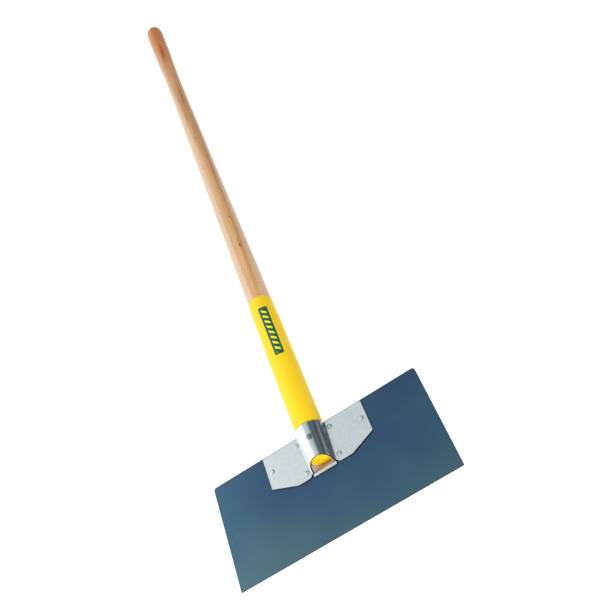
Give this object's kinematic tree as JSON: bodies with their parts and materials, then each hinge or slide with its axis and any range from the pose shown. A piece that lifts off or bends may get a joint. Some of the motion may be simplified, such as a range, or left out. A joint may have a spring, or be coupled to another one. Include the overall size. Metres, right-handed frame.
{
  "type": "long-handled blade scraper",
  "caption": "Long-handled scraper for mortar and concrete: a wide rectangular steel blade held by riveted half-socket plates on a tapered wooden handle with a knob.",
  "frame": {"origin": "middle of the blade's working edge face, half way through the blade's thickness", "axes": "+X along the working edge, +Y up the blade towards the handle's knob, +Z out of the front, where the handle screw is"},
  "size_m": [0.3, 1.1527, 0.0592],
  "materials": {
    "spring_steel": "blued, heat-treated spring steel, satin",
    "galvanised_sheet": "galvanised pressed sheet, pale and satin",
    "bare_wood": "turned and sanded hardwood, unvarnished",
    "yellow_lacquer": "dip-coated gloss lacquer",
    "green_label": "printed film label, plain",
    "zinc_screw": "zinc-plated steel",
    "rivet_steel": "plated steel, headed cold"
  },
  "bodies": {
    "root": {"blade": "spring_steel", "front_plate": "galvanised_sheet", "rear_plate": "galvanised_sheet", "handle": "bare_wood", "lacquer": "yellow_lacquer", "label": "green_label", "handle_screw": "zinc_screw", "rivet_left_upper": "rivet_steel", "rivet_left_outer": "rivet_steel", "rivet_left_lower": "rivet_steel", "rivet_right_upper": "rivet_steel", "rivet_right_outer": "rivet_steel", "rivet_right_lower": "rivet_steel"}
  },
  "joints": []
}
